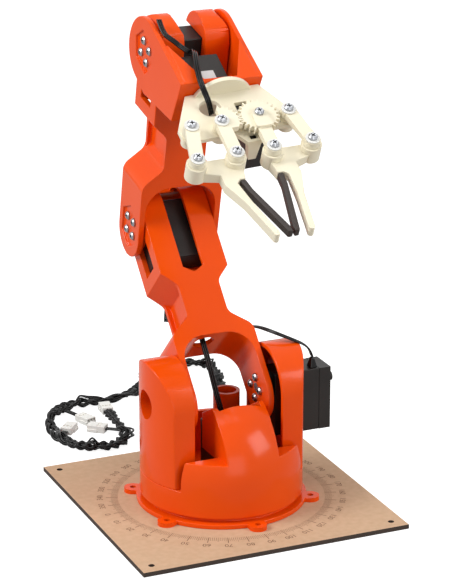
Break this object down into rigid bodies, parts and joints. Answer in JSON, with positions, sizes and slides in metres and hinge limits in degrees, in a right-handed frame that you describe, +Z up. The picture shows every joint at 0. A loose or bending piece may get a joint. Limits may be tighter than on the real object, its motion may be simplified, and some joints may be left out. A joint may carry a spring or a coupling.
{
  "type": "desktop robot arm",
  "caption": "Desktop robot arm on a square protractor board: turntable, shoulder, elbow, wrist and roll joints driven by servos, with a geared two-finger gripper.",
  "frame": {"origin": "centre of the board's underside", "axes": "+Z up, +X right along the board's front edge, +Y to the back; the arm folds in the YZ plane"},
  "size_m": [0.18, 0.3413, 0.3101],
  "materials": {
    "board": "matt fibreboard",
    "orange_plastic": "glossy",
    "servo_plastic": "satin",
    "steel": "bright",
    "cream_plastic": "satin",
    "white_plastic": "satin",
    "jaw_rubber": "matt",
    "cable": "satin"
  },
  "bodies": {
    "base": {"base_board": "board", "base_ring": "orange_plastic", "base_horn": "servo_plastic", "base_servo_shaft": "steel", "harness_clip": "servo_plastic", "harness": "cable", "connector_leads": "cable", "connectors": "white_plastic"},
    "turret": {"base_servo_case": "servo_plastic", "turret_drum": "orange_plastic", "left_tower": "orange_plastic", "right_tower": "orange_plastic", "shoulder_servo_case": "servo_plastic", "shoulder_servo_cover": "servo_plastic", "shoulder_servo_screws": "steel", "shoulder_pivot_pin": "steel", "shoulder_grommet": "cable"},
    "upper_arm": {"upper_arm_shell": "orange_plastic", "shoulder_horn": "servo_plastic", "shoulder_servo_shaft": "steel", "shoulder_horn_screws": "steel", "elbow_servo_case": "servo_plastic", "shoulder_lead": "cable", "arch_lead": "cable", "elbow_lead": "cable"},
    "forearm": {"forearm_shell": "orange_plastic", "elbow_horn": "servo_plastic", "elbow_servo_shaft": "steel", "elbow_horn_screws": "steel", "elbow_pivot_bush": "steel", "wrist_servo_case": "servo_plastic", "forearm_lead": "cable"},
    "wrist": {"wrist_block": "orange_plastic", "wrist_horn": "servo_plastic", "wrist_servo_shaft": "steel", "wrist_horn_screws": "steel", "wrist_pivot_bush": "steel", "roll_servo_case": "servo_plastic", "wrist_lead": "cable", "gripper_lead": "cable"},
    "palm": {"roll_servo_shaft": "steel", "roll_horn": "servo_plastic", "palm_plate": "cream_plastic", "gripper_servo_case": "servo_plastic", "palm_screws": "steel", "palm_washers": "white_plastic"},
    "drive_arm": {"drive_gear": "cream_plastic", "gripper_servo_shaft": "steel", "drive_gear_screw": "steel"},
    "idler_arm": {"idler_gear": "cream_plastic"},
    "outer_left": {"left_link": "cream_plastic"},
    "outer_right": {"right_link": "cream_plastic"},
    "finger_left": {"left_finger": "cream_plastic", "left_jaw": "jaw_rubber", "left_finger_screws": "steel", "left_finger_washers": "white_plastic"},
    "finger_right": {"right_finger": "cream_plastic", "right_jaw": "jaw_rubber", "right_finger_screws": "steel", "right_finger_washers": "white_plastic"}
  },
  "joints": [
    {"name": "base_turn", "type": "hinge", "parent": "base", "child": "turret", "pos_m": [0, 0, 0], "axis": [0, 0, 1], "range_deg": [-90, 90]},
    {"name": "shoulder", "type": "hinge", "parent": "turret", "child": "upper_arm", "pos_m": [0, 0, 0.074], "axis": [1, 0, 0], "range_deg": [-26.2, 113.8], "deforming": ["shoulder_lead", "arch_lead"]},
    {"name": "elbow", "type": "hinge", "parent": "upper_arm", "child": "forearm", "pos_m": [0, 0.08652, 0.16422], "axis": [-1, 0, 0], "range_deg": [-33.5, 146.5]},
    {"name": "wrist", "type": "hinge", "parent": "forearm", "child": "wrist", "pos_m": [0, 0.05904, 0.28616], "axis": [1, 0, 0], "range_deg": [-178.7, 1.3], "deforming": ["wrist_lead", "gripper_lead"]},
    {"name": "wrist_roll", "type": "hinge", "parent": "wrist", "child": "palm", "pos_m": [0.0016, 0.05435, 0.29384], "axis": [0, -0.8536, -0.521], "range_deg": [-95, 85]},
    {"name": "gripper", "type": "hinge", "parent": "palm", "child": "drive_arm", "pos_m": [0.01355, -0.02105, 0.24904], "axis": [-0.0872, -0.519, 0.8503], "range_deg": [0, 45]},
    {"name": "idler", "type": "hinge", "parent": "palm", "child": "idler_arm", "pos_m": [-0.01035, -0.01996, 0.24726], "axis": [-0.0872, -0.519, 0.8503], "range_deg": [-45.05, 0]},
    {"name": "right_outer", "type": "hinge", "parent": "palm", "child": "outer_right", "pos_m": [0.03298, -0.02194, 0.2505], "axis": [-0.0872, -0.519, 0.8503], "range_deg": [0, 48.11]},
    {"name": "left_outer", "type": "hinge", "parent": "palm", "child": "outer_left", "pos_m": [-0.02978, -0.01908, 0.24581], "axis": [-0.0872, -0.519, 0.8503], "range_deg": [-48.11, 0]},
    {"name": "right_finger_pivot", "type": "hinge", "parent": "drive_arm", "child": "finger_right", "pos_m": [0.01355, -0.04367, 0.23524], "axis": [-0.0872, -0.519, 0.8503], "range_deg": [-33.24, 0]},
    {"name": "left_finger_pivot", "type": "hinge", "parent": "idler_arm", "child": "finger_left", "pos_m": [-0.01035, -0.04258, 0.23345], "axis": [-0.0872, -0.519, 0.8503], "range_deg": [0, 33.24]}
  ],
  "couplings": [
    {"joint": "idler", "follows": "gripper", "ratio": -1},
    {"joint": "right_outer", "follows": "gripper", "ratio": 1.0679},
    {"joint": "left_outer", "follows": "gripper", "ratio": -1.0679},
    {"joint": "right_finger_pivot", "follows": "gripper", "ratio": -0.7375},
    {"joint": "left_finger_pivot", "follows": "gripper", "ratio": 0.7375}
  ]
}
